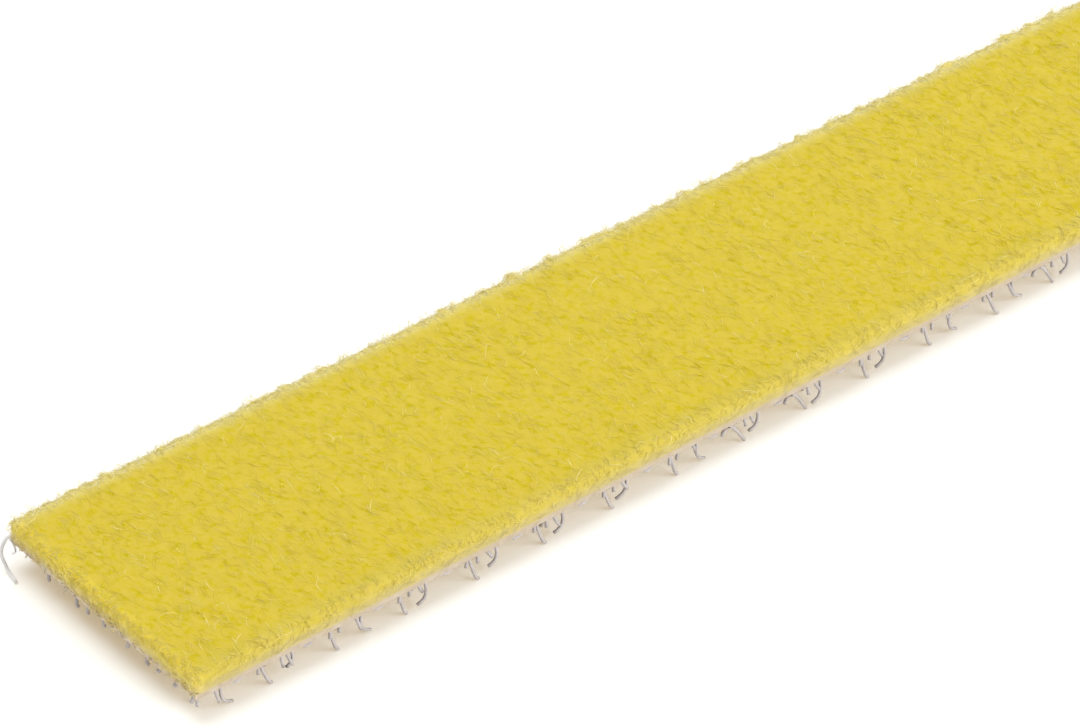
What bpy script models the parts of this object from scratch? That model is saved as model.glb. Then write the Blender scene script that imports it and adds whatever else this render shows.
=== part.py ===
"""Hook and loop cable tie: a flat strip with a brushed loop fabric above and a woven hook tape below.

Units are metres and +Z is up. The strip runs along X and its width lies along Y. The origin is the
middle of its footprint, on the surface that the hooks stand on.
"""

import math

import bmesh
import bpy
from mathutils import Vector, noise

# Strip
STRIP_LENGTH = 0.150
STRIP_WIDTH = 0.016

# Layers
PILE_THICKNESS = 0.00103
GLUE_LINE = 0.00002
GROUND_THICKNESS = 0.00035
HOOK_HEIGHT = 0.0017

# Brushed loop pile
PILE_SHOULDER = 0.00045
TUFT_SPACING = 0.0020
TUFT_SIZE = 0.0032
TUFT_DIP = 0.00018

# Woven hooks
HOOK_ROWS = 12
HOOK_ROW_INSET = 0.0003
HOOK_PITCH = 0.00443
HOOK_END_MARGIN = 0.0009
HOOK_WIRE = 0.00018
HOOK_LEAN = 0.0006
HOOK_KNEE_HEIGHT = 0.00085
HOOK_FOOT = 0.00045

# Heights that follow from the layers
GROUND_TOP = HOOK_HEIGHT + GROUND_THICKNESS
PILE_BOTTOM = GROUND_TOP + GLUE_LINE
PILE_TOP = PILE_BOTTOM + PILE_THICKNESS

# Edges sharper than this stay crisp, and the rest is shaded smooth
SHARP_ANGLE = math.radians(50)

# Finishes: colour, roughness
YELLOW_PILE = ((0.68, 0.54, 0.06), 0.95)
PALE_NYLON = ((0.72, 0.65, 0.61), 0.45)


def clear_scene():
    for obj in list(bpy.data.objects):
        bpy.data.objects.remove(obj)


def new_collection(name):
    collection = bpy.data.collections.new(name)
    bpy.context.scene.collection.children.link(collection)
    return collection


def new_material(name, finish):
    colour, roughness = finish
    material = bpy.data.materials.new(name)
    material.use_nodes = True
    shader = material.node_tree.nodes["Principled BSDF"]
    shader.inputs["Base Color"].default_value = (*colour, 1.0)
    shader.inputs["Roughness"].default_value = roughness
    shader.inputs["Metallic"].default_value = 0.0
    material.diffuse_color = (*colour, 1.0)
    return material


def add_part(name, shape, finish, collection):
    """Turns a finished bmesh into a named object with its own material."""
    mesh = bpy.data.meshes.new(name)
    shape.to_mesh(mesh)
    shape.free()
    mesh.shade_smooth()
    mesh.set_sharp_from_angle(angle=SHARP_ANGLE)
    mesh.materials.append(new_material(name, finish))
    part = bpy.data.objects.new(name, mesh)
    collection.objects.link(part)
    return part


def sheet_over(xs, ys, height):
    """A flat sheet whose grid lines lie at the stations xs and ys."""
    shape = bmesh.new()
    columns = len(xs) - 1
    rows = len(ys) - 1
    bmesh.ops.create_grid(shape, x_segments=columns, y_segments=rows, size=0.5)
    for vert in shape.verts:
        column = round((vert.co.x + 0.5) * columns)
        row = round((vert.co.y + 0.5) * rows)
        vert.co = Vector((xs[column], ys[row], height))
    return shape


def close_sheet(shape, level):
    """Makes a sheet a solid: its open rim runs straight to the height level and is filled there."""
    rim = [edge for edge in shape.edges if edge.is_boundary]
    made = bmesh.ops.extrude_edge_only(shape, edges=rim)
    for item in made["geom"]:
        if isinstance(item, bmesh.types.BMVert):
            item.co.z = level
    rim = [edge for edge in shape.edges if edge.is_boundary]
    bmesh.ops.holes_fill(shape, edges=rim, sides=0)
    bmesh.ops.recalc_face_normals(shape, faces=shape.faces[:])


def pile_stations(span):
    """Grid lines across a span of pile: two on each rounded shoulder, the rest evenly between."""
    half = span / 2
    shoulder_middle = half - PILE_SHOULDER * (1 - math.sqrt(0.5))
    flat = span - 2 * PILE_SHOULDER
    count = max(1, round(flat / TUFT_SPACING))
    middle = [(step / count - 0.5) * flat for step in range(count + 1)]
    return [-half, -shoulder_middle, *middle, shoulder_middle, half]


def shoulder_drop(inset):
    """How far the quarter-round shoulder lies below the pile's top, this far in from its edge."""
    short = min(max(PILE_SHOULDER - inset, 0.0), PILE_SHOULDER)
    return PILE_SHOULDER - math.sqrt(PILE_SHOULDER**2 - short**2)


def tuft_dip(x, y):
    """The brushed nap is level on its tufts and sinks softly between them."""
    return TUFT_DIP * max(0.0, noise.noise(Vector((x, y, 0.0)) / TUFT_SIZE))


def make_loop_fabric():
    shape = sheet_over(pile_stations(STRIP_LENGTH), pile_stations(STRIP_WIDTH), PILE_TOP)
    for vert in shape.verts:
        inset = min(STRIP_LENGTH / 2 - abs(vert.co.x), STRIP_WIDTH / 2 - abs(vert.co.y))
        vert.co.z -= shoulder_drop(inset) + tuft_dip(vert.co.x, vert.co.y)
    close_sheet(shape, PILE_BOTTOM)
    return shape


def hook_rows():
    """The middle of each row of hooks across the width."""
    reach = STRIP_WIDTH / 2 - HOOK_ROW_INSET
    return [reach * (2 * row / (HOOK_ROWS - 1) - 1) for row in range(HOOK_ROWS)]


def hook_places(row):
    """Where a row's hooks stand along the strip. Every second row is half a pitch further on."""
    stagger = HOOK_PITCH / 2
    room = STRIP_LENGTH - 2 * HOOK_END_MARGIN
    count = int((room - stagger) / HOOK_PITCH)
    start = -(count * HOOK_PITCH + stagger) / 2
    return [start + stagger * (row % 2) + step * HOOK_PITCH for step in range(count + 1)]


def hook_sections():
    """Sections of a hook from root to tip: (back, belly), each as (reach, height)."""
    half = HOOK_WIRE / 2
    tip = HOOK_LEAN - HOOK_FOOT
    return [
        ((half, HOOK_HEIGHT), (-half, HOOK_HEIGHT)),
        ((HOOK_LEAN + half, HOOK_KNEE_HEIGHT), (HOOK_LEAN - half, HOOK_KNEE_HEIGHT)),
        ((HOOK_LEAN, 0.0), (HOOK_LEAN - HOOK_WIRE, HOOK_WIRE)),
        ((tip, 0.0), (tip, HOOK_WIRE)),
    ]


def grow_hook(shape, cell, place, row, lean):
    """Draws a three-sided hook down out of one small cell of the ground; lean is +1 or -1 along X.

    The cell is cut corner to corner, and the half with both of its back corners becomes the root.
    """
    backs = [vert for vert in cell.verts if (vert.co.x - place) * lean > 0]
    fronts = [vert for vert in cell.verts if vert not in backs]
    spare, belly = sorted(fronts, key=lambda vert: vert.co.y)
    cut = [edge.other_vert(spare) for edge in cell.edges if spare in edge.verts]
    bmesh.utils.face_split(cell, *cut)
    root = next(face for face in belly.link_faces if set(face.verts) == {*backs, belly})
    on_back = [vert in backs for vert in root.verts]
    belly.co.y = row
    section = root
    for back, front in hook_sections()[1:]:
        section = bmesh.ops.extrude_discrete_faces(shape, faces=[section])["faces"][0]
        for vert, is_back in zip(section.verts, on_back):
            reach, height = back if is_back else front
            vert.co.x = place + lean * reach
            vert.co.z = height


def both_sides(middles):
    """Grid lines half a wire either side of each middle."""
    half = HOOK_WIRE / 2
    return [line for middle in sorted(middles) for line in (middle - half, middle + half)]


def make_hook_tape():
    rows = hook_rows()
    places = hook_places(0) + hook_places(1)
    xs = [-STRIP_LENGTH / 2, *both_sides(places), STRIP_LENGTH / 2]
    ys = [-STRIP_WIDTH / 2, *both_sides(rows), STRIP_WIDTH / 2]
    shape = sheet_over(xs, ys, HOOK_HEIGHT)
    cells = {}
    for face in shape.faces:
        middle = face.calc_center_bounds()
        cells[round(middle.x / HOOK_WIRE, 1), round(middle.y / HOOK_WIRE, 1)] = face
    for number, row in enumerate(rows):
        lean = 1 if number % 2 else -1
        for place in hook_places(number):
            cell = cells[round(place / HOOK_WIRE, 1), round(row / HOOK_WIRE, 1)]
            grow_hook(shape, cell, place, row, lean)
    close_sheet(shape, GROUND_TOP)
    return shape


def main():
    clear_scene()
    tie = new_collection("hook_and_loop_cable_tie")
    add_part("loop_fabric", make_loop_fabric(), YELLOW_PILE, tie)
    add_part("hook_tape", make_hook_tape(), PALE_NYLON, tie)


main()
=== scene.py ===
"""A yellow hook and loop cable tie, lying flat on its hooks.

The strip runs along X. Lengths are in metres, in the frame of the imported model.
"""

import math

import bpy
import numpy as np
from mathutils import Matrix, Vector, noise


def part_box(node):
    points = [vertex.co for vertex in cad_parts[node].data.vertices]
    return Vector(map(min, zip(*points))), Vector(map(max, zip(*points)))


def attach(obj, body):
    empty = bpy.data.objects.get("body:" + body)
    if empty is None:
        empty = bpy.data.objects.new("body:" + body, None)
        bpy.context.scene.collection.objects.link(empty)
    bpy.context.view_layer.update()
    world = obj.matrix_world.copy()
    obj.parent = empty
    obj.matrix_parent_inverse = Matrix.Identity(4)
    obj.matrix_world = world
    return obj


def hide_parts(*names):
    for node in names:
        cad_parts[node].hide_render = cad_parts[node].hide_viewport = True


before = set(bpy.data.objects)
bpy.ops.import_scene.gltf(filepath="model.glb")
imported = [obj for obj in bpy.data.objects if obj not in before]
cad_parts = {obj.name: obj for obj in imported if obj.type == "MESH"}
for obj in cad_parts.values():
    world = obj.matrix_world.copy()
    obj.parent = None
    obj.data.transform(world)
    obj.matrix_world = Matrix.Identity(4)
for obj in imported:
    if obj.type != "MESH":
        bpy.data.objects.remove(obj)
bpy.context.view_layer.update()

MM = 0.001
pile_low, pile_high = (Vector(corner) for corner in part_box("loop_fabric"))
_, tape_high = (Vector(corner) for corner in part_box("hook_tape"))

# Strip
HALF_LENGTH = pile_high.x
HALF_WIDTH = pile_high.y
PILE_TOP = pile_high.z
PILE_BOTTOM = pile_low.z
GROUND_TOP = tape_high.z
GROUND_BOTTOM = 1.7 * MM
SHARP_ANGLE = math.radians(50)

# Share of the pile's walls that lies at the two ends
END_SHARE = HALF_WIDTH / (HALF_WIDTH + HALF_LENGTH)

# Hook tape's woven ground
RIB_SPACING = 0.5 * MM
RIB_DEPTH = 0.07 * MM
RIB_STEPS = 4
PICK_SPACING = 0.37 * MM

# Frayed ends of its warp: how deep they root, how far they stand out at least and mostly, and how far
# they stray sideways
WARP_ENDS = 70
WARP_END_RADIUS = (0.03 * MM, 0.055 * MM)
WARP_END_ROOT = 0.15 * MM
WARP_END_LEAST = 0.02 * MM
WARP_END_RISE = 0.06 * MM
WARP_END_STRAY = 0.12 * MM
WARP_END_SHARES = (0.0, 0.6, 1.0)

# Camera: where it looks, from which side, how far off, and its lens
TARGET = Vector((-43.33, 4.09, 0.0)) * MM
AZIMUTH = math.radians(-39.05)
ELEVATION = math.radians(37.74)
DISTANCE = 321.94 * MM
LENS = 201.1

# Dense body of the pile: its rounded rim, how far it stands out, and its lumps as size and height
SHOULDER = 0.45 * MM
CORNER_RADIUS = 0.4 * MM
BASE_REACH = 0.01 * MM
BASE_SINK = 0.015 * MM
BASE_GRID = 0.30 * MM
SMALL_LUMPS = (0.6 * MM, 0.02 * MM)
LARGE_LUMPS = (1.6 * MM, 0.006 * MM)
TUFT_WIDTH = 0.65 * MM
TUFTS_FULL_BELOW = 0.1 * MM
RIM_TUFTS = 0.08 * MM
BACK_TUFTS = 0.32 * MM

# Sides of the tubes that yarns and wires are laid from, and steps along each
FIBRE_SIDES = 3
WIRE_SIDES = 6
FILAMENT_SIDES = 8
FUZZ_STEPS = 3
FIBRE_STEPS = 4
HAIR_STEPS = 6
LONG_STEPS = 8
SHORT_STEPS = 4
LOOSE_STEPS = 16

# Fibres that lie brushed over it
FIBRE_PIECES = 2
FIBRES_PER_PIECE = 8200
FIBRE_LENGTH = (0.5 * MM, 1.1 * MM)
FIBRE_RADIUS = (0.018 * MM, 0.030 * MM)
FIBRE_FLATNESS = 0.16
FIBRE_SINK = 0.010 * MM
FIBRE_LIFT = (0.0 * MM, 0.008 * MM)
FIBRE_BEND = 1.3
FIBRE_SPREAD = 0.4
SWIRL = 0.6
SWIRL_SIZE = 1.3 * MM
TONE_PATCH = 0.8 * MM
WALL_SHARE = 0.14
WALL_FOOT = 0.08 * MM
WALL_CLEARANCE = 0.03 * MM

# Loose curls on top
CURL_COUNT = 1700
CURL_WALL_SHARE = 0.03
CURL_LENGTH = (0.5 * MM, 1.1 * MM)
CURL_RADIUS = (0.010 * MM, 0.014 * MM)
CURL_LIFT = (0.004 * MM, 0.020 * MM)
CURL_BEND = 2.2

# Fuzz on the rim
FUZZ_COUNT = 12500
FUZZ_BACK_SHARE = 0.80
FUZZ_BAND = 0.6 * MM
FUZZ_LENGTH = (0.3 * MM, 0.8 * MM)
FUZZ_RADIUS = 0.0145 * MM
FUZZ_ROOT = 0.02 * MM
FUZZ_LEAST = 0.05 * MM
FUZZ_RISE = 0.11 * MM
FUZZ_MOST = 0.42 * MM
FUZZ_PATCH = 0.7 * MM
FUZZ_OUTER = 0.30 * MM

# Loose hairs
HAIR_COUNT = 200
HAIR_FROM_EDGE = 0.5 * MM
HAIR_LENGTH = (0.6 * MM, 1.5 * MM)
HAIR_RADIUS = 0.009 * MM
HAIR_ROOT = 0.05 * MM
HAIR_LIFT = (0.12 * MM, 0.42 * MM)

# Ragged yarns at the cut ends
END_YARNS = 90
END_YARN_LENGTH = (0.4 * MM, 1.1 * MM)
END_YARN_RADIUS = (0.016 * MM, 0.028 * MM)
END_YARN_HEIGHT = (-0.12 * MM, 0.30 * MM)
END_YARN_LIFT = (0.03 * MM, 0.16 * MM)

# Colours of the pile, some painted light and shade, and the size and slant of the small pits in its nap
# The paler yarn at the pile's foot and the tape's top, also painted light low on the pile's shaded walls
PALE_YARN = (0.435, 0.355, 0.195, 1.0)
# Painted light on the rims, which turn from the lamps and are shaded by their fuzz
PAINTED_RIM_LIGHT = (0.525, 0.445, 0.115, 1.0)
# Painted light on the back rim, which faces away from the lamps
PAINTED_BACK_LIGHT = (0.72, 0.63, 0.24, 1.0)
CURL_YELLOW = (0.605, 0.485, 0.070, 1.0)
# Painted light: how much lighter the cut ends are painted, as the lamps leave them in shade
PAINTED_END_LIGHT = (1.44, 1.44, 1.44, 1.0)
PIT_SIZE = (0.31 * MM, 0.50 * MM, 0.45 * MM)
PIT_TURN = 0.5
# Painted shade: deeper, darker yellow in the nap's hollows, and paler between them
PIT_SHADE_TINTS = [
    (0.36, (1.02, 1.01, 1.32)),
    (0.50, (1.0, 1.0, 1.10)),
    (0.56, (0.985, 0.985, 0.80)),
    (0.65, (0.93, 0.94, 0.03)),
]

# Where the pile is paler: bands along its edges, each as its width and its share of the paler colour, painted
# light on its shaded rims and back; and its walls from this height down, partly the foot's paler yarn and
# partly painted light
SIDE_BAND = (1.5 * MM, 0.50)
END_BAND = (0.7 * MM, 0.25)
BACK_BAND = (1.3 * MM, 0.7)
PALE_FROM = 2.90 * MM
PALE_SHARE = 0.75
# How far in from the cut ends the pile and the ground are painted lighter: painted light on the shaded ends
PAINTED_END_REACH_PILE = 0.7 * MM
PAINTED_END_REACH_GROUND = 0.1 * MM

# Two layers of drawn curls in the dense body: how each is turned, its size and its line's width
CURL_LAYERS = [
    (0.15, (0.10 * MM, 0.34 * MM, 0.30 * MM), 0.045),
    (-0.45, (0.13 * MM, 0.30 * MM, 0.27 * MM), 0.035),
]

# Hooks
ROWS = 12
ROW_INSET = 0.3 * MM
PITCH = 4.43 * MM
WIRE_RADIUS = 0.098 * MM


def unit(vectors):
    return vectors / np.maximum(np.linalg.norm(vectors, axis=-1, keepdims=True), 1e-12)


# Copies of a modelled tube, laid along many paths


def model_tube(sides, steps):
    """A closed straight tube along X, one long and one in radius, with a ring of points at each step."""
    facing_x = (0, math.pi / 2, 0)
    span = 1.0 / (steps - 1)
    bpy.ops.object.select_all(action="DESELECT")
    bpy.ops.mesh.primitive_circle_add(vertices=sides, radius=1.0, fill_type="NGON", rotation=facing_x)
    tube = bpy.context.object
    bpy.ops.object.transform_apply(location=False, rotation=True, scale=False)
    bpy.ops.object.mode_set(mode="EDIT")
    bpy.ops.mesh.select_all(action="SELECT")
    for _ in range(steps - 1):
        bpy.ops.mesh.extrude_region_move(TRANSFORM_OT_translate={"value": (span, 0, 0)})
    bpy.ops.mesh.select_all(action="SELECT")
    bpy.ops.mesh.normals_make_consistent(inside=False)
    bpy.ops.object.mode_set(mode="OBJECT")
    return tube


def lay_copies(name, tube, paths, radii, taper=1.0, tones=None, faces_out=None, flatness=1.0,
               smooth=False):
    """A piece with one copy of the tube along each path.

    paths is copies x steps x 3, one step for each ring of the tube. taper is how thin the two end
    rings are. tones gives each copy a number that its material reads. faces_out is the way each copy's
    upper edge points, and flatness its thickness over its width. A fibre keeps its plain faces, because
    a smoothed one would look as round and as dark at its sides as a wire.
    """
    copies, steps, _ = paths.shape
    mesh = tube.data
    count = len(mesh.vertices)
    shape = np.empty(count * 3)
    mesh.vertices.foreach_get("co", shape)
    shape = shape.reshape(-1, 3)
    ring = np.rint(shape[:, 0] * (steps - 1)).astype(int)
    along = np.empty_like(paths)
    along[:, 1:-1] = paths[:, 2:] - paths[:, :-2]
    along[:, 0] = paths[:, 1] - paths[:, 0]
    along[:, -1] = paths[:, -1] - paths[:, -2]
    along = unit(along)
    if faces_out is None:
        faces_out = np.where(np.abs(along[:, 0, 2:]) < 0.9, [0.0, 0.0, 1.0], [1.0, 0.0, 0.0])
    side = unit(np.cross(np.broadcast_to(faces_out[:, None], along.shape), along))
    up = np.cross(along, side) * flatness
    width = np.ones(steps)
    width[0] = width[-1] = taper
    reach = radii[:, None, None] * width[ring][None, :, None]
    section = shape[:, 1][:, None] * up[:, ring] - shape[:, 2][:, None] * side[:, ring]
    points = paths[:, ring] + reach * section

    loops = len(mesh.loops)
    faces = len(mesh.polygons)
    corner = np.empty(loops, dtype=np.int32)
    mesh.loops.foreach_get("vertex_index", corner)
    start = np.empty(faces, dtype=np.int32)
    mesh.polygons.foreach_get("loop_start", start)
    step = np.arange(copies, dtype=np.int32)[:, None]
    made = bpy.data.meshes.new(name)
    made.vertices.add(copies * count)
    made.vertices.foreach_set("co", points.reshape(-1))
    made.loops.add(copies * loops)
    made.loops.foreach_set("vertex_index", (corner[None] + step * count).reshape(-1))
    made.polygons.add(copies * faces)
    made.polygons.foreach_set("loop_start", (start[None] + step * loops).reshape(-1))
    made.update(calc_edges=True)
    if smooth:
        made.shade_smooth()
    else:
        made.shade_flat()
    if tones is not None:
        made.attributes.new("tone", "FLOAT", "POINT").data.foreach_set("value", np.repeat(tones, count))
    piece = bpy.data.objects.new(name, made)
    bpy.context.scene.collection.objects.link(piece)
    return piece


# Materials
VECTOR = "NodeSocketVector"
NUMBER = "NodeSocketFloat"
COLOUR = "NodeSocketColor"


def new_material(name):
    material = bpy.data.materials.new(name)
    material.use_nodes = True
    nodes = material.node_tree.nodes
    return material, nodes, material.node_tree.links, nodes["Principled BSDF"]


def new_group(name, inputs, output, kind):
    """A node group with these inputs and one output of this kind: the group, its nodes and links, the
    sockets that bring its inputs, and the one that takes its output."""
    group = bpy.data.node_groups.new(name, "ShaderNodeTree")
    for socket, socket_kind in inputs.items():
        group.interface.new_socket(socket, in_out="INPUT", socket_type=socket_kind)
    group.interface.new_socket(output, in_out="OUTPUT", socket_type=kind)
    inside = group.nodes.new("NodeGroupInput")
    outside = group.nodes.new("NodeGroupOutput")
    return group, group.nodes, group.links, inside.outputs, outside.inputs[output]


def feed(links, socket, value):
    """Gives a socket its value: another node's output, or a plain number or colour."""
    if isinstance(value, bpy.types.NodeSocket):
        links.new(value, socket)
    else:
        socket.default_value = value


def use_group(nodes, links, group, values):
    """The output of a group that is placed in a material with these values for its inputs."""
    node = nodes.new("ShaderNodeGroup")
    node.node_tree = group
    for name, value in values.items():
        feed(links, node.inputs[name], value)
    return node.outputs[0]


def calculate(nodes, links, operation, *values):
    node = nodes.new("ShaderNodeMath")
    node.operation = operation
    for socket, value in zip(node.inputs, values):
        feed(links, socket, value)
    return node.outputs["Value"]


def mix_colours(nodes, links, share, under, over, blend="MIX"):
    node = nodes.new("ShaderNodeMix")
    node.data_type = "RGBA"
    node.blend_type = blend
    feed(links, node.inputs["Factor"], share)
    feed(links, node.inputs["A"], under)
    feed(links, node.inputs["B"], over)
    return node.outputs["Result"]


def smooth_step(nodes, links, value, start, end, first=0.0, last=1.0):
    """Runs smoothly from first, where the value is at start, to last, where it is at end."""
    node = nodes.new("ShaderNodeMapRange")
    node.interpolation_type = "SMOOTHSTEP"
    ends = {"Value": value, "From Min": start, "From Max": end, "To Min": first, "To Max": last}
    for name, given in ends.items():
        feed(links, node.inputs[name], given)
    return node.outputs["Result"]


def cloud(nodes, links, place, scale, detail=2.0, roughness=0.5, distortion=0.0):
    """Soft noise from 0 to 1."""
    node = nodes.new("ShaderNodeTexNoise")
    node.inputs["Scale"].default_value = scale
    node.inputs["Detail"].default_value = detail
    node.inputs["Roughness"].default_value = roughness
    node.inputs["Distortion"].default_value = distortion
    links.new(place, node.inputs["Vector"])
    return node.outputs["Fac"]


def ramp(nodes, links, value, stops):
    """The colour that a value has between stops, each a position and a colour."""
    node = nodes.new("ShaderNodeValToRGB")
    elements = node.color_ramp.elements
    for element, (position, colour) in zip(elements, (stops[0], stops[-1])):
        element.position = position
        element.color = (*colour, 1.0)
    for position, colour in stops[1:-1]:
        elements.new(position).color = (*colour, 1.0)
    links.new(value, node.inputs["Fac"])
    return node.outputs["Color"]


def turned(nodes, links, vector, turn, size):
    """The vector as a pattern reads it that is turned about the vertical and has cells of this size."""
    node = nodes.new("ShaderNodeMapping")
    node.vector_type = "TEXTURE"
    node.inputs["Rotation"].default_value = (0.0, 0.0, turn)
    node.inputs["Scale"].default_value = size
    links.new(vector, node.inputs["Vector"])
    return node.outputs["Vector"]


def split(nodes, links, vector):
    node = nodes.new("ShaderNodeSeparateXYZ")
    links.new(vector, node.inputs["Vector"])
    return node.outputs


def object_place(nodes):
    return nodes.new("ShaderNodeTexCoord").outputs["Object"]


def tone_of(nodes):
    """The number that lay_copies gave each copy."""
    node = nodes.new("ShaderNodeAttribute")
    node.attribute_name = "tone"
    return node.outputs["Fac"]


def set_finish(links, shader, colour, roughness, specular=0.5):
    links.new(colour, shader.inputs["Base Color"])
    shader.inputs["Roughness"].default_value = roughness
    shader.inputs["Specular IOR Level"].default_value = specular


def add_bump(nodes, links, shader, height, strength, distance):
    bump = nodes.new("ShaderNodeBump")
    bump.inputs["Strength"].default_value = strength
    bump.inputs["Distance"].default_value = distance
    links.new(height, bump.inputs["Height"])
    links.new(bump.outputs["Normal"], shader.inputs["Normal"])


def add_sheen(shader, weight):
    shader.inputs["Sheen Weight"].default_value = weight
    shader.inputs["Sheen Roughness"].default_value = 0.5
    shader.inputs["Sheen Tint"].default_value = (1.0, 0.96, 0.80, 1.0)


def let_light_through(shader, reach):
    """Light enters the yarn and leaves it again that far off, so fine shadows in it are soft."""
    shader.inputs["Subsurface Weight"].default_value = 1.0
    shader.inputs["Subsurface Radius"].default_value = (1.0, 0.9, 0.5)
    shader.inputs["Subsurface Scale"].default_value = reach


def curl_lines_group():
    """Thin curled lines like matted yarn: 1 on a line and 0 beside it. Width is in the noise's height."""
    sockets = {"Vector": VECTOR, "Width": NUMBER}
    group, nodes, links, given, line = new_group("curl_lines", sockets, "Line", NUMBER)
    field = cloud(nodes, links, given["Vector"], 1.0, detail=1.0, distortion=0.8)
    off_line = calculate(nodes, links, "ABSOLUTE", calculate(nodes, links, "SUBTRACT", field, 0.5))
    links.new(smooth_step(nodes, links, off_line, 0.0, given["Width"], 1.0, 0.0), line)
    return group


def plain_weave_group():
    """A plain weave: the height of its yarns, from 0 to 1, for picks and ends one apart in the vector."""
    group, nodes, links, given, height = new_group("plain_weave", {"Vector": VECTOR}, "Height", NUMBER)
    x, y, _ = split(nodes, links, given["Vector"])
    picks = calculate(nodes, links, "SINE", calculate(nodes, links, "MULTIPLY", x, math.pi))
    ends = calculate(nodes, links, "SINE", calculate(nodes, links, "MULTIPLY", y, math.pi))
    crossing = calculate(nodes, links, "MULTIPLY", picks, ends)
    links.new(calculate(nodes, links, "MULTIPLY_ADD", crossing, 0.5, 0.5), height)
    return group


def near_edge(nodes, links, place, half, reach, most):
    """Rises smoothly to most at the edge, half a span from the middle, over the last reach before it."""
    off_middle = calculate(nodes, links, "ABSOLUTE", place)
    return smooth_step(nodes, links, off_middle, half - reach, half, last=most)


def painted_light_at_ends(nodes, links, x, colour, reach):
    """The colour, painted lighter towards the strip's cut ends: painted light on the ends, which the lamps
    leave in shade.
    """
    near_end = near_edge(nodes, links, x, HALF_LENGTH, reach, 1.0)
    return mix_colours(nodes, links, near_end, colour, PAINTED_END_LIGHT, "MULTIPLY")


def nap_colour_with_painted_light_group():
    """The pile's yellow in the vector's place, with painted light and shade in it: deeper and darker in the
    small slanting pits of the nap, as painted shade; paler at its rims and most at its back, as painted light
    on their shade; paler low down on its walls, partly the foot's paler yarn and partly painted light; and
    lighter at the cut ends, as painted light."""
    sockets = {"Vector": VECTOR, "Colour": COLOUR}
    group, nodes, links, given, result = new_group("nap_colour_with_painted_light", sockets, "Colour", COLOUR)
    place = given["Vector"]
    x, y, z = split(nodes, links, place)
    # Painted shade: the pits' deeper, darker yellow
    slanting = turned(nodes, links, place, PIT_TURN, PIT_SIZE)
    pits = cloud(nodes, links, slanting, 1.0, detail=1.6, roughness=0.55)
    tint = ramp(nodes, links, pits, PIT_SHADE_TINTS)
    colour = mix_colours(nodes, links, 1.0, given["Colour"], tint, "MULTIPLY")
    # Painted light: paler towards the rims, which turn from the lamps and are shaded by their fuzz
    near_side = near_edge(nodes, links, y, HALF_WIDTH, *SIDE_BAND)
    near_end = near_edge(nodes, links, x, HALF_LENGTH, *END_BAND)
    painted_rim_light = calculate(nodes, links, "MAXIMUM", near_side, near_end)
    colour = mix_colours(nodes, links, painted_rim_light, colour, PAINTED_RIM_LIGHT)
    # Painted light: paler towards the back rim, which the lamps leave in shade
    back_width, back_share = BACK_BAND
    painted_back_light = smooth_step(nodes, links, y, HALF_WIDTH - back_width, HALF_WIDTH, last=back_share)
    colour = mix_colours(nodes, links, painted_back_light, colour, PAINTED_BACK_LIGHT)
    # Paler low on the walls: partly the foot's paler yarn, partly painted light on the walls' shaded foot
    low = smooth_step(nodes, links, z, PALE_FROM, PILE_BOTTOM, last=PALE_SHARE)
    colour = mix_colours(nodes, links, low, colour, PALE_YARN)
    # Painted light: the pile lighter towards its shaded cut ends
    links.new(painted_light_at_ends(nodes, links, x, colour, PAINTED_END_REACH_PILE), result)
    return group


def fibre_material(nap_colour_with_painted_light):
    material, nodes, links, shader = new_material("yellow_fibre")
    stops = [(0.0, (0.565, 0.437, 0.033)), (0.6, (0.585, 0.458, 0.041)), (1.0, (0.74, 0.63, 0.18))]
    yellow = ramp(nodes, links, tone_of(nodes), stops)
    # The fibres take the nap's painted shade in its pits and its painted light at the rims, back, foot and
    # ends
    colour = use_group(nodes, links, nap_colour_with_painted_light, {"Vector": object_place(nodes), "Colour": yellow})
    set_finish(links, shader, colour, roughness=0.75, specular=0.12)
    add_sheen(shader, 0.05)
    return material


def fuzz_material():
    material, nodes, links, shader = new_material("pale_fuzz")
    stops = [(0.0, (0.62, 0.51, 0.08)), (0.5, (0.70, 0.61, 0.22)), (1.0, (0.90, 0.85, 0.56))]
    set_finish(links, shader, ramp(nodes, links, tone_of(nodes), stops), roughness=0.6, specular=0.3)
    return material


def base_material(curl_lines, nap_colour_with_painted_light):
    material, nodes, links, shader = new_material("yellow_pile")
    place = object_place(nodes)
    stops = [(0.35, (0.557, 0.428, 0.032)), (0.65, (0.572, 0.443, 0.040))]
    yellow = ramp(nodes, links, cloud(nodes, links, place, 3000), stops)
    # The body takes the nap's painted shade in its pits and its painted light at the rims, back, foot and
    # ends
    napped = use_group(nodes, links, nap_colour_with_painted_light, {"Vector": place, "Colour": yellow})
    layers = []
    for turn, size, width in CURL_LAYERS:
        vector = turned(nodes, links, place, turn, size)
        layers.append(use_group(nodes, links, curl_lines, {"Vector": vector, "Width": width}))
    lines = calculate(nodes, links, "MAXIMUM", *layers)
    share = calculate(nodes, links, "MULTIPLY", lines, 0.45)
    colour = mix_colours(nodes, links, share, napped, CURL_YELLOW)
    set_finish(links, shader, colour, roughness=0.9, specular=0.1)
    add_bump(nodes, links, shader, lines, 0.1, 0.02 * MM)
    add_sheen(shader, 0.08)
    let_light_through(shader, 0.12 * MM)
    return material


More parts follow.
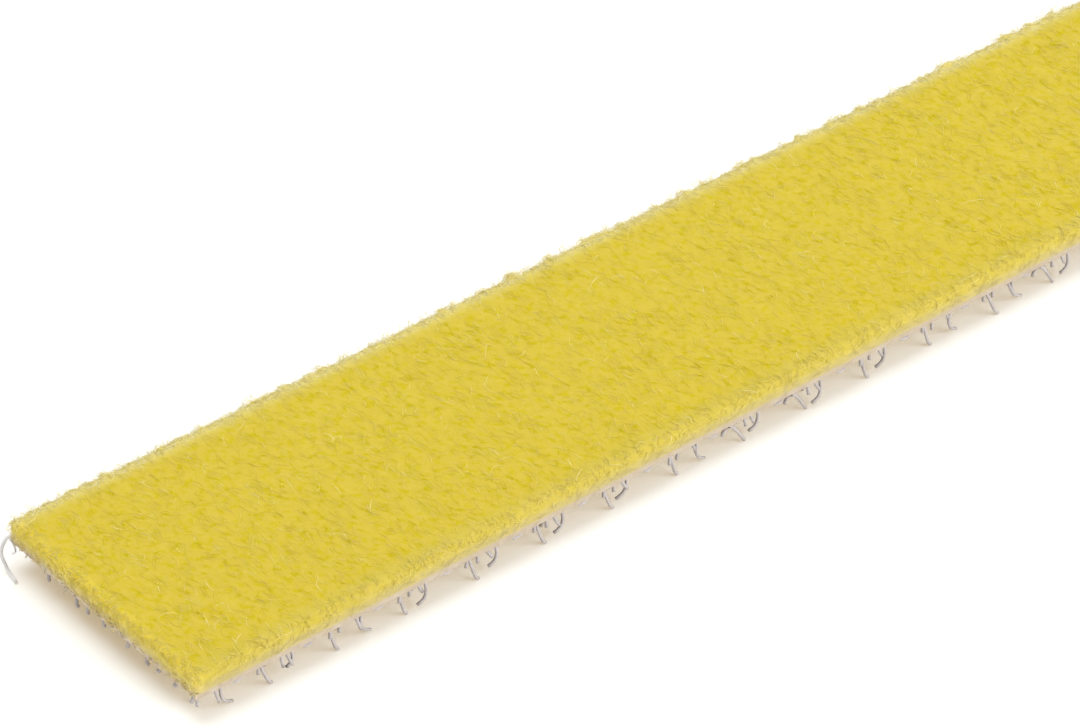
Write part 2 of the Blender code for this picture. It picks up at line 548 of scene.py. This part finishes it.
def ground_material(plain_weave):
    material, nodes, links, shader = new_material("pale_weave")
    place = object_place(nodes)
    x, _, z = split(nodes, links, place)
    cells = turned(nodes, links, place, 0.0, (PICK_SPACING, RIB_SPACING, 1.0))
    weave = use_group(nodes, links, plain_weave, {"Vector": cells})
    # Painted shade: the weave's crowns lighter and the hollows between its yarns darker, over a random tone
    shade = calculate(nodes, links, "MULTIPLY_ADD", weave, 0.45, cloud(nodes, links, place, 1800))
    stops = [(0.35, (0.36, 0.28, 0.195)), (0.70, (0.44, 0.355, 0.255)), (1.0, (0.49, 0.41, 0.31))]
    high = smooth_step(nodes, links, z, GROUND_BOTTOM + 0.16 * MM, GROUND_TOP)
    colour = mix_colours(nodes, links, high, ramp(nodes, links, shade, stops), PALE_YARN)
    # Painted light: the ground lighter towards its shaded cut ends
    colour = painted_light_at_ends(nodes, links, x, colour, PAINTED_END_REACH_GROUND)
    set_finish(links, shader, colour, roughness=0.6)
    add_bump(nodes, links, shader, weave, 0.8, 0.06 * MM)
    return material


def clouded_material(name, scale, dark, light, specular=0.5):
    """A wire's or yarn's material that varies softly between two colours."""
    material, nodes, links, shader = new_material(name)
    shade = cloud(nodes, links, object_place(nodes), scale)
    colour = ramp(nodes, links, shade, [(0.35, dark), (0.65, light)])
    set_finish(links, shader, colour, roughness=0.5, specular=specular)
    return material


# Pile


def shoulder(x, y):
    """How far the pile's rounded rim lies below its top at x and y, and which way it faces there."""
    inset_x = HALF_LENGTH - np.abs(x)
    inset_y = HALF_WIDTH - np.abs(y)
    inset = np.clip(np.minimum(inset_x, inset_y), 0.0, SHOULDER)
    lean = 1.0 - inset / SHOULDER
    rise = np.sqrt(np.maximum(1.0 - lean**2, 0.0))
    by_end = inset_x < inset_y
    end_lean = np.where(by_end, np.sign(x), 0.0) * lean
    side_lean = np.where(by_end, 0.0, np.sign(y)) * lean
    return SHOULDER * (1.0 - rise), np.stack([end_lean, side_lean, rise], -1)


def soft_field(points, size, seed):
    """Smooth noise from about -1 to 1 at each point, with features of that size."""
    offset = Vector((seed * 17.3, seed * 5.1, seed * 9.7))
    return np.array([noise.noise(Vector((x, y, 0.0)) / size + offset) for x, y in points])


def puff(flat, drop):
    """How far the nap swells outwards in tufts at its rim and walls, most at the back."""
    clear_of_ends = np.clip((HALF_LENGTH - np.abs(flat[:, 0])) / MM, 0.0, 1.0)
    size = RIM_TUFTS + BACK_TUFTS * np.clip(flat[:, 1] / HALF_WIDTH, 0.0, 1.0) * clear_of_ends
    tufts = np.maximum(soft_field(flat, TUFT_WIDTH, 8), 0.0)
    return tufts * np.clip(drop / TUFTS_FULL_BELOW, 0.0, 1.0) * size


def rounded(points):
    """The points drawn in at the strip's four corners, so that these are round in plan."""
    inner = np.array([HALF_LENGTH, HALF_WIDTH]) - CORNER_RADIUS
    past = np.maximum(np.abs(points[:, :2]) - inner, 0.0)
    far = np.maximum(np.linalg.norm(past, axis=1), 1e-9)
    kept = np.where(past.min(axis=1) > 0.0, past.max(axis=1) / far, 1.0)
    points = points.copy()
    points[:, :2] -= np.sign(points[:, :2]) * past * (1.0 - kept[:, None])
    return points


def grid_lines(half):
    """Where the grid's lines lie across a span: close together on its rounded rims."""
    rim = half - np.arange(5) * SHOULDER / 4
    middle = np.linspace(-rim[-1], rim[-1], round(2 * half / BASE_GRID))
    return np.concatenate([-rim[:-1], middle, rim[-2::-1]])


def new_sheet(name, x_lines, y_lines):
    """A flat grid whose lines are to lie at these places, and its points there."""
    bpy.ops.object.select_all(action="DESELECT")
    columns = len(x_lines) - 1
    rows = len(y_lines) - 1
    bpy.ops.mesh.primitive_grid_add(x_subdivisions=columns, y_subdivisions=rows, size=2.0)
    piece = bpy.context.object
    piece.name = name
    points = np.empty(len(piece.data.vertices) * 3)
    piece.data.vertices.foreach_get("co", points)
    points = points.reshape(-1, 3)
    for axis, lines in enumerate((x_lines, y_lines)):
        points[:, axis] = np.interp(points[:, axis], np.linspace(-1.0, 1.0, len(lines)), lines)
    return piece, points


def close_sheet(piece, points, level):
    """Puts a sheet's points in place and makes it a solid: its rim runs straight to the level and is
    filled there."""
    piece.data.vertices.foreach_set("co", points.reshape(-1))
    bpy.ops.object.mode_set(mode="EDIT")
    bpy.ops.mesh.select_all(action="SELECT")
    bpy.ops.mesh.region_to_loop()
    bpy.ops.mesh.extrude_region_move()
    bpy.ops.transform.resize(value=(1, 1, 0))
    bpy.ops.mesh.edge_face_add()
    bpy.ops.object.mode_set(mode="OBJECT")
    for vertex in piece.data.vertices[len(points):]:
        vertex.co.z = level
    bpy.ops.object.mode_set(mode="EDIT")
    bpy.ops.mesh.select_all(action="SELECT")
    bpy.ops.mesh.normals_make_consistent(inside=False)
    bpy.ops.object.mode_set(mode="OBJECT")
    piece.data.shade_smooth()
    piece.data.set_sharp_from_angle(angle=SHARP_ANGLE)


def make_base():
    """The dense body of the pile, under its loose fibres."""
    half_x = HALF_LENGTH + BASE_REACH
    half_y = HALF_WIDTH + BASE_REACH
    piece, points = new_sheet("brushed_pile", grid_lines(half_x), grid_lines(half_y))
    drop, normals = shoulder(points[:, 0] * HALF_LENGTH / half_x, points[:, 1] * HALF_WIDTH / half_y)
    flat = points[:, :2].copy()
    small_size, small_height = SMALL_LUMPS
    large_size, large_height = LARGE_LUMPS
    lumps = soft_field(flat * [1.0, 0.6], small_size, 1) * small_height
    lumps += soft_field(flat, large_size, 2) * large_height
    points[:, 2] = PILE_TOP - BASE_SINK - drop + np.minimum(lumps, BASE_SINK)
    points += puff(flat, drop)[:, None] * normals
    close_sheet(piece, rounded(points), GROUND_TOP)
    return piece


def arcs(rng, starts, normals, heading, length, bend, lift, steps):
    """Curved paths that lie on a surface: each starts at a point, turns as it goes and humps up by lift."""
    count = len(starts)
    steep = np.abs(normals[:, 1:2]) > 0.9
    guide = np.where(steep, [0.0, 0.0, 1.0], [0.0, 1.0, 0.0])
    across = unit(guide - normals * np.sum(guide * normals, axis=1, keepdims=True))
    along = np.cross(across, normals)
    s = np.linspace(0.0, 1.0, steps)
    turn = heading[:, None] + bend[:, None] * (s[None] - 0.5)
    step = length[:, None] / (steps - 1)
    x = np.cumsum(np.cos(turn), axis=1) * step
    y = np.cumsum(np.sin(turn), axis=1) * step
    x -= x.mean(axis=1, keepdims=True)
    y -= y.mean(axis=1, keepdims=True)
    z = lift[:, None] * 4 * s * (1 - s) + rng.uniform(-0.3, 0.3, (count, 1)) * lift[:, None]
    flat = x[..., None] * along[:, None] + y[..., None] * across[:, None]
    return starts[:, None] + flat + z[..., None] * normals[:, None]


def brushed(rng, flat, spread):
    """Headings mostly across the strip, swirling softly from place to place."""
    return math.pi / 2 + SWIRL * soft_field(flat, SWIRL_SIZE, 3) + rng.normal(0.0, spread, len(flat))


def on_pile(rng, count, wall_share):
    """Random places on the pile's top, rounded rim and walls: the points, the way the surface faces
    there, and which of them are on a wall."""
    x = rng.uniform(-HALF_LENGTH, HALF_LENGTH, count)
    y = rng.uniform(-HALF_WIDTH, HALF_WIDTH, count)
    drop, normals = shoulder(x, y)
    points = np.stack([x, y, PILE_TOP - drop], -1)
    on_wall = rng.random(count) < wall_share
    on_end = on_wall & (rng.random(count) < END_SHARE)
    on_side = on_wall & ~on_end
    sign = np.where(rng.random(count) < 0.5, -1.0, 1.0)
    points[on_side, 1] = sign[on_side] * HALF_WIDTH
    points[on_end, 0] = sign[on_end] * HALF_LENGTH
    points[on_wall, 2] = rng.uniform(PILE_BOTTOM + WALL_FOOT, PILE_TOP - SHOULDER, on_wall.sum())
    drop[on_wall] = SHOULDER
    normals[on_side] = np.stack([0 * sign, sign, 0 * sign], -1)[on_side]
    normals[on_end] = np.stack([sign, 0 * sign, 0 * sign], -1)[on_end]
    out = puff(points[:, :2], drop) + np.where(on_wall, WALL_CLEARANCE, 0.0)
    return rounded(points + normals * out[:, None]), normals, on_wall


def make_fibres(tube, number):
    """One share of the fibres that lie brushed over the pile, mostly across the strip."""
    rng = np.random.default_rng(100 + number)
    count = FIBRES_PER_PIECE
    points, normals, on_wall = on_pile(rng, count, WALL_SHARE)
    flat = points[:, :2]
    heading = brushed(rng, flat, FIBRE_SPREAD)
    heading = np.where(on_wall, rng.normal(0.0, 0.6, count), heading)
    length = rng.uniform(*FIBRE_LENGTH, count) * np.where(on_wall, 0.7, 1.0)
    bend = rng.normal(0.0, FIBRE_BEND, count)
    lift = rng.uniform(*FIBRE_LIFT, count)
    paths = arcs(rng, points - normals * FIBRE_SINK, normals, heading, length, bend, lift, FIBRE_STEPS)
    patches = 0.40 + 0.12 * soft_field(flat, TONE_PATCH, 4)
    tone = np.clip(patches + rng.normal(0.0, 0.25, count), 0.0, 1.0)
    radii = rng.uniform(*FIBRE_RADIUS, count)
    return lay_copies(f"pile_fibres_{number + 1}", tube, paths, radii, 0.4, tone, normals, FIBRE_FLATNESS)


def make_curls(tube):
    """Pale loose curls that lie on top of the matted fibres."""
    rng = np.random.default_rng(31)
    count = CURL_COUNT
    points, normals, on_wall = on_pile(rng, count, CURL_WALL_SHARE)
    heading = brushed(rng, points[:, :2], 0.5)
    length = rng.uniform(*CURL_LENGTH, count) * np.where(on_wall, 0.6, 1.0)
    bend = rng.normal(0.0, CURL_BEND, count)
    lift = rng.uniform(*CURL_LIFT, count)
    paths = arcs(rng, points, normals, heading, length, bend, lift, HAIR_STEPS)
    radii = rng.uniform(*CURL_RADIUS, count)
    return lay_copies("loose_curls", tube, paths, radii, 0.5, rng.uniform(0.65, 1.0, count), normals, 0.5)


def make_fuzz(tube):
    """Short loose curls that stand up along the rim of the pile."""
    rng = np.random.default_rng(11)
    count = FUZZ_COUNT
    x = rng.uniform(-HALF_LENGTH, HALF_LENGTH, count)
    y = rng.uniform(-HALF_WIDTH, HALF_WIDTH, count)
    side = np.where(rng.random(count) < FUZZ_BACK_SHARE, 1.0, -1.0)
    inset = rng.uniform(0.0, 1.0, count) ** 2 * FUZZ_BAND
    at_end = rng.random(count) < END_SHARE
    x = np.where(at_end, np.sign(x) * (HALF_LENGTH - inset), x)
    y = np.where(at_end, y, side * (HALF_WIDTH - inset))
    drop, normals = shoulder(x, y)
    leaning = unit(normals + [0.0, 0.0, 1.2])
    flat = np.stack([x, y], -1)
    starts = np.stack([x, y, PILE_TOP - drop], -1) + normals * (puff(flat, drop) - FUZZ_ROOT)[:, None]
    heading = rng.uniform(0, 2 * math.pi, count)
    tufts = np.clip(0.9 + 1.2 * soft_field(flat, FUZZ_PATCH, 6), 0.3, 1.8)
    outer = np.clip(1.2 - inset / FUZZ_OUTER, 0.10, 1.0) * np.where(at_end | (side < 0), 0.5, 1.0)
    lift = np.minimum((FUZZ_LEAST + rng.exponential(FUZZ_RISE, count)) * tufts * outer, FUZZ_MOST)
    length = rng.uniform(*FUZZ_LENGTH, count)
    bend = rng.normal(0.0, 0.9, count)
    paths = arcs(rng, rounded(starts), leaning, heading, length, bend, lift, FUZZ_STEPS)
    # Painted light: fuzz on the back rim gets the paler tones, standing in for light on that shaded side
    tone = rng.uniform(0.0, 0.4, count) + np.where(~at_end & (side > 0), 0.45, 0.0)
    return lay_copies("rim_fuzz", tube, paths, np.full(count, FUZZ_RADIUS), 0.35, tone)


def make_hairs(tube):
    """Loose hairs that stand up from the pile, half of them near its long sides."""
    rng = np.random.default_rng(7)
    count = HAIR_COUNT
    x = rng.uniform(-HALF_LENGTH, HALF_LENGTH, count)
    by_side = rng.random(count) < 0.5
    near_side = np.sign(rng.uniform(-1, 1, count)) * (HALF_WIDTH - rng.exponential(HAIR_FROM_EDGE, count))
    anywhere = rng.uniform(-HALF_WIDTH, HALF_WIDTH, count)
    y = np.clip(np.where(by_side, near_side, anywhere), -HALF_WIDTH, HALF_WIDTH)
    drop, normals = shoulder(x, y)
    normals = unit(normals + [0.0, 0.0, 1.0])
    starts = np.stack([x, y, PILE_TOP - drop - HAIR_ROOT], -1)
    heading = rng.uniform(0, 2 * math.pi, count)
    length = rng.uniform(*HAIR_LENGTH, count)
    bend = rng.normal(0.0, 1.8, count)
    lift = rng.uniform(*HAIR_LIFT, count)
    paths = arcs(rng, starts, normals, heading, length, bend, lift, HAIR_STEPS)
    tone = rng.uniform(0.4, 0.8, count)
    return lay_copies("loose_hairs", tube, paths, np.full(count, HAIR_RADIUS), 0.6, tone)


# Hook tape


def make_ground():
    """The woven ground of the hook tape: its warp makes ribs along the underside."""
    ribs = round(2 * HALF_WIDTH / RIB_SPACING)
    lines = np.linspace(-HALF_WIDTH, HALF_WIDTH, ribs * RIB_STEPS + 1)
    piece, points = new_sheet("hook_tape_ground", [-HALF_LENGTH, HALF_LENGTH], lines)
    points[:, 2] = GROUND_BOTTOM + RIB_DEPTH * np.sin(math.pi * points[:, 1] / RIB_SPACING) ** 2
    close_sheet(piece, points, GROUND_TOP)
    return piece


def smooth_path(points, steps):
    """A smooth run of steps through a few points."""
    before = 2 * np.array(points[0]) - points[1]
    after = 2 * np.array(points[-1]) - points[-2]
    points = np.array([before, *points, after])
    spans = len(points) - 3
    out = []
    for place in np.linspace(0, spans, steps):
        k = min(int(place), spans - 1)
        t = place - k
        a, b, c, d = points[k:k + 4]
        curve = 2 * b + (c - a) * t + (2 * a - 5 * b + 4 * c - d) * t**2 + (3 * b - 3 * c + d - a) * t**3
        out.append(0.5 * curve)
    return np.array(out)


# Wires of a hook yarn, each as points along, outward and up from the start of a repeat, in millimetres
LEG = [(0.10, 0.0, 1.80), (0.24, 0.05, 1.25), (0.40, 0.10, 0.75), (0.56, 0.15, 0.30), (0.74, 0.18, 0.09)]
ARCHED_LEG = [
    (-0.80, 0.10, 1.12), (-0.72, 0.12, 1.40), (-0.42, 0.10, 1.50), (0.02, 0.08, 1.26), (0.75, 0.15, 0.09),
]
CURL_BACK = [
    (1.72, 0.0, 1.80), (1.80, 0.02, 1.30), (1.79, 0.05, 0.88), (1.60, 0.05, 0.52), (1.20, 0.05, 0.40),
]
CURL_ON = [
    (2.14, 0.0, 1.80), (2.03, 0.02, 1.30), (2.01, 0.05, 0.85), (2.18, 0.05, 0.42), (2.58, 0.05, 0.20),
]
CLOSED_LOOP = [
    (1.50, 0.0, 1.80), (1.54, 0.04, 1.15), (1.72, 0.06, 0.58), (2.26, 0.05, 0.80), (2.06, 0.0, 1.80),
]
STUB = [(0.00, 0.0, 1.80), (0.02, 0.10, 1.48), (-0.04, 0.16, 1.15)]
SHORT_SIDE = [(0.76, 0.0, 1.80), (0.74, 0.05, 1.45), (0.70, 0.08, 1.08)]
LONG_SIDE = [(1.20, 0.0, 1.80), (1.36, 0.03, 1.35), (1.62, 0.05, 0.88)]
LATE_SIDE = [(1.70, 0.0, 1.80), (1.84, 0.03, 1.20), (2.04, 0.05, 0.60)]
FLOAT = [(2.50, 0.0, 1.78), (2.82, 0.20, 1.56), (3.18, 0.20, 1.55), (3.52, 0.0, 1.78)]

# Each kind of repeat: its long wires and its short ones
REPEATS = {
    "back": ([LEG, CURL_BACK], [STUB, SHORT_SIDE, LONG_SIDE, FLOAT]),
    "arched": ([ARCHED_LEG, CURL_BACK], [SHORT_SIDE, LONG_SIDE, FLOAT]),
    "on": ([LEG, CURL_ON], [STUB, SHORT_SIDE, LATE_SIDE, FLOAT]),
    "loop": ([LEG, CLOSED_LOOP], [STUB, LATE_SIDE, FLOAT]),
}
FRONT_ROW = ["on", "on", "loop", "on", "back", "back", "back", "back", "on", "arched"]
OTHER_KINDS = ["back", "on", "arched", "back", "loop", "on"]

# The front row's tip that lies here fixes where the repeats start
FIRST_TIP = -56.97 * MM
TIP_IN_REPEAT = 0.74 * MM
REPEATS_BEFORE_FIRST_TIP = 5

# How far the wires stay clear of the strip's ends, in the front rows and in the back ones
ENDS_CLEAR = 0.1 * MM
BACK_ENDS_CLEAR = 0.9 * MM

# How much the wires vary: along at the root, along and aside at the tip, and in height as a share
ROOT_SPREAD = 0.05 * MM
TIP_SPREAD = 0.12 * MM
TIP_ASIDE = 0.10 * MM
HEIGHT_SPREAD = 0.08

# Where cut yarns hang down at the two ends, in millimetres across the strip, and the height they reach
END_STUBS = (-7.65, -6.31, -4.97, -3.79, -2.25, -0.16, 1.22, 2.19, 4.61)
END_STUB_FOOT = (1.15, 1.5)


def loose_wire(rng, wire, start, y, outward, along):
    """One wire of a repeat put in its place, its free end a little out of line."""
    wire = np.array(wire) * MM
    fall = (wire[0, 2] - wire[:, 2]) / GROUND_BOTTOM
    shift = rng.normal(0.0, ROOT_SPREAD) + fall * rng.normal(0.0, TIP_SPREAD)
    wire[:, 0] = start + along * (wire[:, 0] + shift)
    wire[:, 1] = y + outward * (wire[:, 1] + fall * rng.normal(0.0, TIP_ASIDE))
    wire[:, 2] = np.maximum(wire[:, 2] * (1 + fall * rng.normal(0.0, HEIGHT_SPREAD)), WIRE_RADIUS)
    return wire


def end_stub(rng, sign, y):
    """A cut yarn that hangs down at the end of the strip on the side of sign."""
    foot = rng.uniform(*END_STUB_FOOT)
    aside = rng.normal(0.0, 0.22)
    stub = np.array([
        (0.14, 0.0, 1.78), (0.05, 0.02, foot + 0.15), (0.04, aside * 0.4, foot), (0.08, aside, foot - 0.06),
    ])
    return smooth_path(stub * [-sign * MM, MM, MM] + [sign * HALF_LENGTH, y * MM, 0.0], SHORT_STEPS)


def make_hooks(long_tube, short_tube):
    """The hook yarns: two cut loops and a float in each repeat, row by row. Every second row runs back."""
    rng = np.random.default_rng(42)
    legs, stubs = [], []
    for row in range(ROWS):
        in_front = row < ROWS / 2
        outward = -1.0 if in_front else 1.0
        along = -1.0 if row % 2 else 1.0
        reach = HALF_LENGTH - (ENDS_CLEAR if in_front else BACK_ENDS_CLEAR)
        y = (HALF_WIDTH - ROW_INSET) * (2 * row / (ROWS - 1) - 1)
        first = FIRST_TIP - TIP_IN_REPEAT - REPEATS_BEFORE_FIRST_TIP * PITCH + PITCH / 2 * (row % 2)
        for number in range(int(2 * HALF_LENGTH / PITCH) + 4):
            kind = OTHER_KINDS[rng.integers(len(OTHER_KINDS))]
            if row == 0 and number < len(FRONT_ROW):
                kind = FRONT_ROW[number]
            for made, wires, steps in zip((legs, stubs), REPEATS[kind], (LONG_STEPS, SHORT_STEPS)):
                for wire in wires:
                    wire = loose_wire(rng, wire, first + number * PITCH, y, outward, along)
                    if np.abs(wire[:, 0]).max() < reach:
                        made.append(smooth_path(wire, steps))
    stubs += [end_stub(rng, sign, y) for sign in (-1.0, 1.0) for y in END_STUBS]
    pieces = []
    for name, tube, paths in (("hook_yarns", long_tube, legs), ("hook_yarn_stubs", short_tube, stubs)):
        pieces.append(lay_copies(name, tube, np.array(paths), np.full(len(paths), WIRE_RADIUS), smooth=True))
    return pieces


# Two filaments that have pulled loose at one corner, in millimetres
LOOSE_FILAMENT = [
    (-74.55, 7.70, 1.85), (-75.05, 8.00, 1.98), (-75.42, 8.05, 1.50), (-75.52, 8.00, 1.00),
    (-75.42, 7.85, 0.42), (-75.48, 7.35, 0.14), (-75.60, 6.67, 0.12),
]
LOOSE_HOOK = [
    (-74.70, 7.90, 1.95), (-75.02, 7.90, 1.95), (-75.06, 7.52, 1.75),
    (-75.04, 7.40, 1.40), (-75.02, 7.74, 1.02),
]
LOOSE_RADII = (WIRE_RADIUS, 0.55 * WIRE_RADIUS)


def make_loose_filaments(tube):
    paths = [smooth_path(np.array(points) * MM, LOOSE_STEPS) for points in (LOOSE_FILAMENT, LOOSE_HOOK)]
    return lay_copies("loose_filaments", tube, np.array(paths), np.array(LOOSE_RADII), smooth=True)


def make_warp_ends(tube):
    """The cut ends of the ground's warp, frayed a little at both ends of the strip."""
    rng = np.random.default_rng(5)
    count = 2 * WARP_ENDS
    sign = np.repeat([-1.0, 1.0], WARP_ENDS)
    y = rng.uniform(-HALF_WIDTH + 0.1 * MM, HALF_WIDTH - 0.1 * MM, count)
    z = rng.uniform(GROUND_BOTTOM + 0.08 * MM, GROUND_TOP - 0.05 * MM, count)
    out = WARP_END_LEAST + rng.exponential(WARP_END_RISE, count)
    aside = rng.normal(0.0, WARP_END_STRAY, count)
    paths = np.empty((count, SHORT_STEPS, 3))
    paths[:, 0] = np.stack([sign * (HALF_LENGTH - WARP_END_ROOT), y, z], -1)
    for step, share in enumerate(WARP_END_SHARES, start=1):
        droop = 0.5 * out * share**2
        paths[:, step] = np.stack([sign * (HALF_LENGTH + share * out), y + share * aside, z - droop], -1)
    return lay_copies("warp_ends", tube, paths, rng.uniform(*WARP_END_RADIUS, count), smooth=True)


def make_end_yarns(tube):
    """Ragged curls of pile yarn that hang over the ground at the two cut ends."""
    rng = np.random.default_rng(19)
    count = 2 * END_YARNS
    sign = np.repeat([-1.0, 1.0], END_YARNS)
    y = rng.uniform(-HALF_WIDTH, HALF_WIDTH, count)
    starts = np.stack([sign * HALF_LENGTH, y, PILE_BOTTOM + rng.uniform(*END_YARN_HEIGHT, count)], -1)
    normals = np.stack([sign, 0 * sign, 0 * sign], -1)
    lift = rng.uniform(*END_YARN_LIFT, count)
    heading = rng.uniform(0, 2 * math.pi, count)
    bend = rng.normal(0.0, 3.0, count)
    length = rng.uniform(*END_YARN_LENGTH, count)
    paths = arcs(rng, starts, normals, heading, length, bend, lift, HAIR_STEPS)
    radii = rng.uniform(*END_YARN_RADIUS, count)
    return lay_copies("ragged_end_yarns", tube, paths, radii, 0.7, rng.uniform(0.1, 1.0, count), normals, 0.8)


# Stage


def add_softbox(name, place, size, watts):
    """A round soft lamp that looks at the strip and is not seen itself."""
    light = bpy.data.lights.new(name, "AREA")
    light.shape = "DISK"
    light.size = size
    light.energy = watts
    lamp = bpy.data.objects.new(name, light)
    lamp.location = place
    lamp.rotation_euler = lamp.location.to_track_quat("Z", "Y").to_euler()
    lamp.visible_camera = False
    bpy.context.scene.collection.objects.link(lamp)
    return lamp


def make_stage():
    bpy.ops.object.select_all(action="DESELECT")
    bpy.ops.mesh.primitive_plane_add(size=20.0)
    floor = bpy.context.object
    floor.name = "floor"
    material, _, _, shader = new_material("floor_glowing_warm")
    # Painted light: the floor glows warm, standing in for warm light in the shade under the strip; its bluish
    # colour keeps the open floor white
    shader.inputs["Base Color"].default_value = (0.80, 0.87, 0.95, 1.0)
    shader.inputs["Emission Color"].default_value = (1.0, 0.69, 0.24, 1.0)
    shader.inputs["Emission Strength"].default_value = 0.27
    shader.inputs["Roughness"].default_value = 1.0
    shader.inputs["Specular IOR Level"].default_value = 0.0
    floor.data.materials.append(material)
    world = bpy.context.scene.world or bpy.data.worlds.new("world")
    bpy.context.scene.world = world
    world.use_nodes = True
    background = world.node_tree.nodes["Background"]
    background.inputs["Color"].default_value = (1.0, 1.0, 1.0, 1.0)
    background.inputs["Strength"].default_value = 0.56
    above = add_softbox("softbox_above", place=(-0.12, 0.25, 1.20), size=1.0, watts=8.9)
    front = add_softbox("softbox_front", place=(0.50, -1.05, 0.46), size=1.1, watts=14.0)


def make_camera():
    level = math.cos(ELEVATION)
    back = Vector((math.sin(AZIMUTH) * level, -math.cos(AZIMUTH) * level, math.sin(ELEVATION)))
    camera = bpy.data.cameras.new("camera")
    camera.lens = LENS
    camera.sensor_width = 36.0
    camera.clip_start = 0.01
    camera.clip_end = 100.0
    holder = bpy.data.objects.new("camera", camera)
    holder.location = TARGET + back * DISTANCE
    holder.rotation_euler = back.to_track_quat("Z", "Y").to_euler()
    bpy.context.scene.collection.objects.link(holder)
    bpy.context.scene.camera = holder


def dress_loop_fabric():
    """The pieces that replace the loop fabric, each with its material."""
    fuzz_tube = model_tube(FIBRE_SIDES, FUZZ_STEPS)
    fibre_tube = model_tube(FIBRE_SIDES, FIBRE_STEPS)
    hair_tube = model_tube(FIBRE_SIDES, HAIR_STEPS)
    nap_colour_with_painted_light = nap_colour_with_painted_light_group()
    yellow = fibre_material(nap_colour_with_painted_light)
    pale = fuzz_material()
    base = make_base()
    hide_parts("loop_fabric")
    pieces = [(base, base_material(curl_lines_group(), nap_colour_with_painted_light))]
    pieces += [(make_fibres(fibre_tube, number), yellow) for number in range(FIBRE_PIECES)]
    pieces += [(make_curls(hair_tube), yellow), (make_fuzz(fuzz_tube), pale)]
    pieces += [(make_hairs(hair_tube), pale), (make_end_yarns(hair_tube), yellow)]
    for tube in (fuzz_tube, fibre_tube, hair_tube):
        bpy.data.objects.remove(tube)
    return pieces


def dress_hook_tape():
    """The pieces that replace the hook tape, each with its material."""
    hook_tube = model_tube(WIRE_SIDES, LONG_STEPS)
    stub_tube = model_tube(WIRE_SIDES, SHORT_STEPS)
    filament_tube = model_tube(FILAMENT_SIDES, LOOSE_STEPS)
    cream = clouded_material("cream_yarn", 2500, (0.52, 0.42, 0.30), (0.66, 0.59, 0.43))
    grey = clouded_material("grey_nylon", 1500, (0.41, 0.37, 0.355), (0.48, 0.44, 0.425), specular=0.25)
    # Painted light: the loose filaments are the hooks' nylon painted lighter, for a corner the lamps light
    # weakly
    lighter_nylon = clouded_material("grey_nylon_painted_lighter", 1500, (0.74, 0.73, 0.73), (0.82, 0.81, 0.81), specular=0.25)
    ground = make_ground()
    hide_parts("hook_tape")
    pieces = [(ground, ground_material(plain_weave_group())), (make_warp_ends(stub_tube), cream)]
    pieces += [(piece, grey) for piece in make_hooks(hook_tube, stub_tube)]
    pieces += [(make_loose_filaments(filament_tube), lighter_nylon)]
    for tube in (hook_tube, stub_tube, filament_tube):
        bpy.data.objects.remove(tube)
    return pieces


def main():
    bpy.context.scene.view_settings.view_transform = "Standard"
    for slot, pieces in (("loop_fabric", dress_loop_fabric()), ("hook_tape", dress_hook_tape())):
        for piece, material in pieces:
            piece.data.materials.append(material)
            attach(piece, "root")
    make_stage()
    make_camera()


main()
